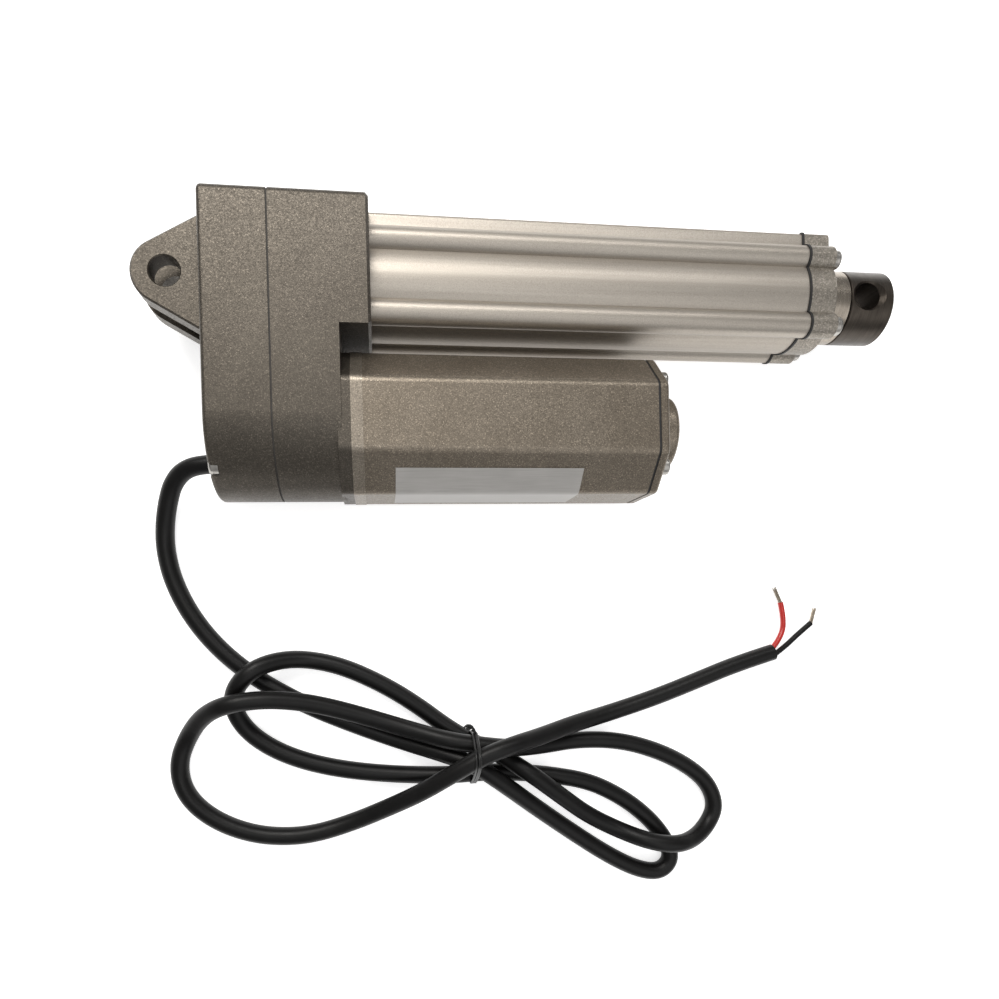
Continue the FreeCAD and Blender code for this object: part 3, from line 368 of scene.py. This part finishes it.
def blasted_tube(name, dark, light):
    """Sand-blasted and anodised extrusion: even fine grain with faint lines along the pull."""
    f = Finish(name, 0.42, 0.86)
    long = f.noise(1.1, 2.0, ALONG_X)
    base = f.ramp(long, [(0.3, dark), (0.7, light)])
    grain = f.ramp(f.noise(0.24, 2.0), [(0.25, 0.8), (0.75, 1.16)])
    f.colour(f.multiply(base, grain))
    f.rough(f.noise(0.5, 2.0), 0.37, 0.52)
    f.bumps((long, 0.012, 0.3), (f.noise(0.22, 1.0), 0.014, 0.5))
    return f.mat


def turned_steel(name, dark, light, roughness, pitch_mm=0.3, metallic=1.0):
    """Turned or ground metal: fine tool lines round the part, with light handling marks."""
    f = Finish(name, roughness, metallic)
    lines = f.noise(pitch_mm, 2.0, ROUND_X)
    base = f.ramp(lines, [(0.25, dark), (0.75, light)])
    marks = f.ramp(f.noise(3.5, 4.0), [(0.35, 0.84), (0.65, 1.06)])
    f.colour(f.multiply(base, marks))
    f.rough(f.noise(1.6, 3.0), max(0.05, roughness - 0.07), roughness + 0.1)
    f.bumps((lines, 0.008, 0.35))
    return f.mat


def moulded(name, dark, light, roughness, grain_mm=0.5, coat=0.0):
    """Moulded rubber or plastic with a faint skin texture and cloudy shade."""
    f = Finish(name, roughness)
    base = f.ramp(f.noise(6.0, 3.0), [(0.3, dark), (0.7, light)])
    fine = f.ramp(f.noise(grain_mm, 2.0), [(0.3, 0.85), (0.7, 1.1)])
    f.colour(f.multiply(base, fine))
    f.rough(f.noise(2.4, 3.0), roughness - 0.06, roughness + 0.08)
    f.bumps((f.noise(grain_mm, 2.0), 0.02, 0.3), (f.noise(5.0, 1.0), 0.06, 0.12))
    f.shader.inputs["Coat Weight"].default_value = coat
    return f.mat


def satin_foil(name):
    """The blank plate: brushed satin foil with a faint cloudiness."""
    f = Finish(name, 0.42, 0.1)
    brush = f.noise(0.28, 2.0, BRUSHED_ALONG_X)
    base = f.ramp(brush, [(0.3, (0.40, 0.385, 0.365)), (0.7, (0.46, 0.445, 0.425))])
    cloud = f.ramp(f.noise(11.0, 3.0), [(0.3, 0.93), (0.7, 1.03)])
    f.colour(f.multiply(base, cloud))
    f.rough(brush, 0.36, 0.5)
    f.bumps((brush, 0.006, 0.25))
    return f.mat


def dress_nodes():
    casting = sparkle_paint("casting_paint", (0.080, 0.069, 0.056), (0.092, 0.080, 0.065),
                            1.9, 0.22, 0.42, 0.72)
    case = sparkle_paint("motor_paint", (0.185, 0.155, 0.120), (0.212, 0.180, 0.142),
                         1.9, 0.22, 0.38, 0.72)
    cap = sparkle_paint("front_cap_paint", (0.270, 0.245, 0.210), (0.315, 0.285, 0.245),
                        1.6, 0.32, 0.42, 0.75)
    tube = blasted_tube("tube_anodised", (0.390, 0.352, 0.308), (0.437, 0.399, 0.350))
    flange = sparkle_paint("flange_paint", (0.245, 0.212, 0.172), (0.275, 0.240, 0.196),
                           1.6, 0.2, 0.36, 0.75)
    fibre = moulded("gasket_fibre", (0.035, 0.031, 0.027), (0.055, 0.049, 0.042), 0.7, 0.25)
    steel = turned_steel("zinc_steel", (0.36, 0.345, 0.32), (0.50, 0.48, 0.45), 0.3)
    ground = turned_steel("ground_steel", (0.50, 0.49, 0.47), (0.62, 0.61, 0.59), 0.2, 0.18)
    rod_steel = turned_steel("rod_steel", (0.30, 0.26, 0.215), (0.44, 0.39, 0.33), 0.25, 0.22)
    oxide = turned_steel("black_oxide", (0.052, 0.043, 0.035), (0.082, 0.069, 0.057), 0.33, 0.35, 0.85)
    gasket = moulded("gasket_rubber", (0.008, 0.008, 0.008), (0.016, 0.015, 0.015), 0.6, 0.4)
    plastic = moulded("black_moulding", (0.012, 0.012, 0.012), (0.022, 0.021, 0.020), 0.45, 0.3)
    bronze = turned_steel("sintered_bronze", (0.34, 0.22, 0.09), (0.46, 0.31, 0.14), 0.42, 0.5)
    acetal = moulded("gear_moulding", (0.62, 0.59, 0.52), (0.72, 0.69, 0.62), 0.4, 0.6)
    ferrite = moulded("ferrite", (0.022, 0.022, 0.024), (0.045, 0.045, 0.047), 0.55, 0.25)
    copper = turned_steel("turned_copper", (0.50, 0.20, 0.09), (0.66, 0.29, 0.14), 0.3, 0.25)
    enamel = turned_steel("enamelled_wire", (0.20, 0.05, 0.015), (0.36, 0.11, 0.035), 0.3, 0.35, 0.6)
    board = moulded("board_lacquer", (0.012, 0.075, 0.03), (0.02, 0.105, 0.045), 0.35, 0.4, 0.4)
    by_slot = {
        "casting": casting, "tube": tube, "steel": steel, "ground_steel": ground,
        "rod_steel": rod_steel, "dark_steel": oxide, "gasket": gasket, "black_plastic": plastic,
        "bronze": bronze, "gear_plastic": acetal, "winding": enamel, "copper": copper,
        "magnet": ferrite, "board": board, "plate": satin_foil("plate_foil"),
    }
    own = {"motor_cover": case, "motor_end_cap": case, "front_cap": cap, "motor_flange": flange,
           "housing_gasket": fibre}
    slots = {entry["node"]: entry["material_slot"] for entry in frame["record"]["subparts"]}
    for name, obj in NODES.items():
        material = own.get(name) or by_slot.get(slots[name])
        if material is None:
            continue
        if not obj.data.materials:
            obj.data.materials.append(material)
        for i in range(len(obj.data.materials)):
            obj.data.materials[i] = material


def round_edges(names):
    """A small cast radius along the sharp edges of the castings."""
    for name in names:
        made = NODES[name].modifiers.new("edge", "BEVEL")
        made.width = CAST_EDGE * MM
        made.segments = CAST_EDGE_SEGMENTS
        made.limit_method = "ANGLE"
        made.angle_limit = CAST_EDGE_ANGLE


# ---- surroundings -------------------------------------------------------------------------------
def make_floor():
    """A pale flat surface that the object lies on, white to the camera with its soft shadow kept."""
    side, z = FLOOR_HALF_SIDE, TABLE_Z * MM - FLOOR_GAP
    mesh = bpy.data.meshes.new("floor")
    corners = [(-side, -side, z), (side, -side, z), (side, side, z), (-side, side, z)]
    mesh.from_pydata(corners, [], [(0, 1, 2, 3)])
    obj = add_object("floor", mesh)
    mat = bpy.data.materials.new("floor_white")
    mat.use_nodes = True
    shader = mat.node_tree.nodes["Principled BSDF"]
    shader.inputs["Base Color"].default_value = (FLOOR_SHADE, FLOOR_SHADE, FLOOR_SHADE, 1.0)
    shader.inputs["Roughness"].default_value = 0.9
    shader.inputs["Specular IOR Level"].default_value = 0.1
    shader.inputs["Emission Color"].default_value = (*WHITE, 1.0)
    shader.inputs["Emission Strength"].default_value = FLOOR_GLOW
    mesh.materials.append(mat)


def area_light(name, at, aim, size, power, colour=WHITE):
    data = bpy.data.lights.new(name, "AREA")
    data.shape = "RECTANGLE"
    data.size, data.size_y = size
    data.energy = power
    data.color = colour
    obj = add_object(name, data)
    obj.location = at
    obj.rotation_euler = (Vector(aim) - Vector(at)).to_track_quat("-Z", "Y").to_euler()


def make_lights():
    area_light("key", (-0.15, 0.55, 0.75), CENTRE, (0.5, 0.5), 5.0, WARM_WHITE)
    area_light("strip", (0.10, 0.32, 0.42), TUBE_CENTRE, (0.7, 0.07), 1.0)
    area_light("fill", (0.45, -0.55, 0.75), CENTRE, (0.9, 0.9), 2.2)
    area_light("front", (0.09, -0.08, 0.9), CENTRE, (0.35, 0.35), 0.9)


def make_world():
    """A dim even light on the object, with a plain white backdrop where the camera looks past it."""
    world = bpy.data.worlds.new("studio")
    world.use_nodes = True
    nodes, links = world.node_tree.nodes, world.node_tree.links
    soft = nodes["Background"]
    soft.inputs["Color"].default_value = (*WHITE, 1.0)
    soft.inputs["Strength"].default_value = WORLD_STRENGTH
    plain = nodes.new("ShaderNodeBackground")
    plain.inputs["Color"].default_value = (*WHITE, 1.0)
    choose = nodes.new("ShaderNodeMixShader")
    links.new(nodes.new("ShaderNodeLightPath").outputs["Is Camera Ray"], choose.inputs["Fac"])
    links.new(soft.outputs["Background"], choose.inputs[1])
    links.new(plain.outputs["Background"], choose.inputs[2])
    links.new(choose.outputs["Shader"], nodes["World Output"].inputs["Surface"])
    bpy.context.scene.world = world
    bpy.context.scene.view_settings.view_transform = "Standard"


# ---- put together -------------------------------------------------------------------------------
make_camera()
cord, red_core, black_core, red_bare, black_bare = make_cords()
tie = make_tie()
stands_for = [(cord, "cord"), (red_core, "red_core"), (black_core, "black_core"),
              (red_bare, "red_strands"), (black_bare, "black_strands"), (tie, "twist_tie")]
for piece, node in stands_for:
    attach(piece, "housing")
    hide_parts(node)

dress_nodes()
jacket = moulded("cord_jacket", (0.0028, 0.0026, 0.0025), (0.0052, 0.0049, 0.0047), 0.4, 0.5)
jacket.node_tree.nodes["Principled BSDF"].inputs["Specular IOR Level"].default_value = JACKET_SHINE
red_skin = moulded("red_insulation", (0.42, 0.012, 0.008), (0.52, 0.02, 0.012), 0.32, 0.4, 0.2)
tinned = turned_steel("tinned_wire", (0.33, 0.28, 0.22), (0.52, 0.46, 0.38), 0.34, 0.2)
ribbon = moulded("tie_ribbon", (0.004, 0.004, 0.004), (0.008, 0.008, 0.0075), 0.4, 0.4)
for piece, material, slot_name in (
        (cord, jacket, "cord_black"), (red_core, red_skin, "core_red"),
        (black_core, jacket, "cord_black"), (red_bare, tinned, "tinned"),
        (black_bare, tinned, "tinned"), (tie, ribbon, "black_plastic")):
    piece.data.materials.append(material)
round_edges(["rear_cover", "gear_housing", "motor_end_cap"])
make_floor()
make_lights()
make_world()
